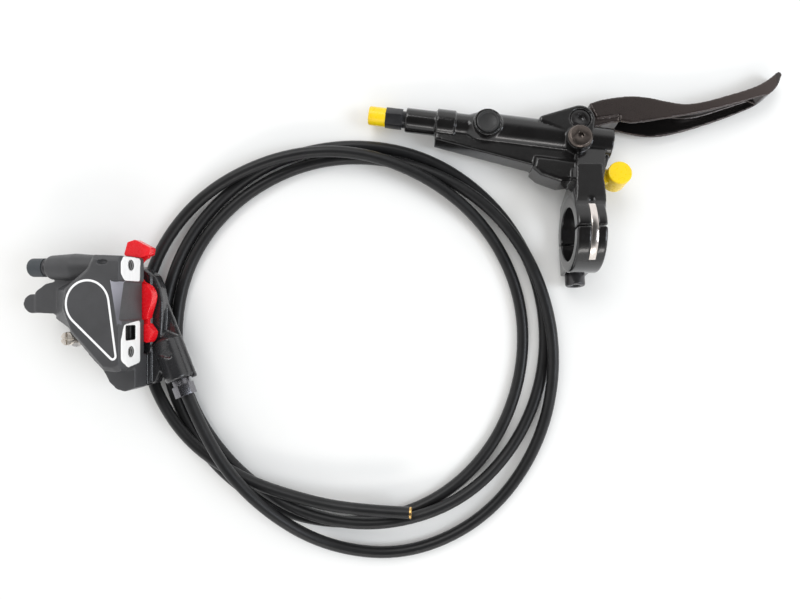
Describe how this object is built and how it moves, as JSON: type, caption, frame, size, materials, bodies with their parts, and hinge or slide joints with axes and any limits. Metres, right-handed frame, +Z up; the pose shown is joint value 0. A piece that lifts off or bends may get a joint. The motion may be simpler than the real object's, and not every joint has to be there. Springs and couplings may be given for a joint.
{
  "type": "hydraulic disc brake",
  "caption": "Hydraulic bicycle disc brake: flat-bar lever with master cylinder, flat mount caliper, and the hose joined at the caliper, its other end free.",
  "frame": {"origin": "The middle of the footprint, at the height of the table that the set lies on.", "axes": "+X runs along the handlebar axis, from the caliper's side to the lever's pivot side; +Y runs from the handlebar clamp towards the finger lever; +Z is up from the table."},
  "size_m": [0.3198, 0.2123, 0.0407],
  "materials": {
    "gloss_black": "gloss black coated cast aluminium",
    "satin_grey": "satin dark grey coated aluminium with machined bright faces",
    "blade_black": "satin black anodised aluminium",
    "black_steel": "dark plated steel",
    "bright_steel": "bright steel",
    "strap_steel": "polished spring steel",
    "machined_aluminium": "machined",
    "bleed_bronze": "brown anodised",
    "plug_black": "satin black",
    "bearing_plastic": "plain bearing plastic",
    "yellow_plastic": "smooth moulded",
    "red_plastic": "smooth moulded",
    "piston_resin": "moulded resin",
    "friction_lining": "pressed friction compound",
    "seal_rubber": "soft rubber",
    "cap_rubber": "soft dark rubber",
    "brass": "turned brass",
    "hose_black": "smooth matte nylon jacket"
  },
  "bodies": {
    "brake": {"lever_body": "gloss_black", "clamp_cap": "gloss_black", "clamp_bolt": "black_steel", "clamp_strap": "strap_steel", "pivot_pin": "black_steel", "stop_washer": "bright_steel", "return_spring": "bright_steel", "reservoir_plug": "plug_black", "bleed_screw": "bleed_bronze", "bleed_ring": "seal_rubber", "port_nut": "black_steel", "port_cap": "yellow_plastic", "lever_stop": "yellow_plastic", "caliper_outer_half": "satin_grey", "caliper_inner_half": "gloss_black", "outer_piston_seal": "seal_rubber", "inner_piston_seal": "seal_rubber", "pad_axle": "bright_steel", "body_bolts": "black_steel", "bleed_nipple": "black_steel", "bleed_cap": "cap_rubber", "pad_spacer": "red_plastic", "union_nut": "black_steel", "union_olive": "brass", "hose": "hose_black", "hose_insert": "brass"},
    "lever": {"lever_blade": "blade_black", "pivot_bush_upper": "bearing_plastic", "pivot_bush_lower": "bearing_plastic"},
    "push": {"master_piston": "machined_aluminium", "primary_seal": "seal_rubber", "secondary_seal": "seal_rubber", "push_rod": "bright_steel"},
    "outer_pad": {"outer_piston": "piston_resin", "outer_pad_backing": "bright_steel", "outer_pad_lining": "friction_lining"},
    "inner_pad": {"inner_piston": "piston_resin", "inner_pad_backing": "bright_steel", "inner_pad_lining": "friction_lining"}
  },
  "joints": [
    {"name": "lever_pivot", "type": "hinge", "parent": "brake", "child": "lever", "pos_m": [0.07057, 0.04642, 0.00869], "axis": [0, -0.1994, -0.9799], "range_deg": [0, 20], "stiffness_Nm_per_rad": 0.3, "springref_deg": -11.46},
    {"name": "master_piston_slide", "type": "slide", "parent": "brake", "child": "push", "axis": [-0.9913, 0.1291, -0.0263], "range_m": [0, 0.00242], "deforming": ["return_spring"]},
    {"name": "outer_pad_slide", "type": "slide", "parent": "brake", "child": "outer_pad", "axis": [0.1564, 0, -0.9877], "range_m": [0, 0.0004]},
    {"name": "inner_pad_slide", "type": "slide", "parent": "brake", "child": "inner_pad", "axis": [-0.1564, 0, 0.9877], "range_m": [0, 0.0004]}
  ],
  "couplings": [
    {"joint": "master_piston_slide", "follows": "lever_pivot", "m_per_rad": 0.00686},
    {"joint": "inner_pad_slide", "follows": "outer_pad_slide", "ratio": 1}
  ]
}
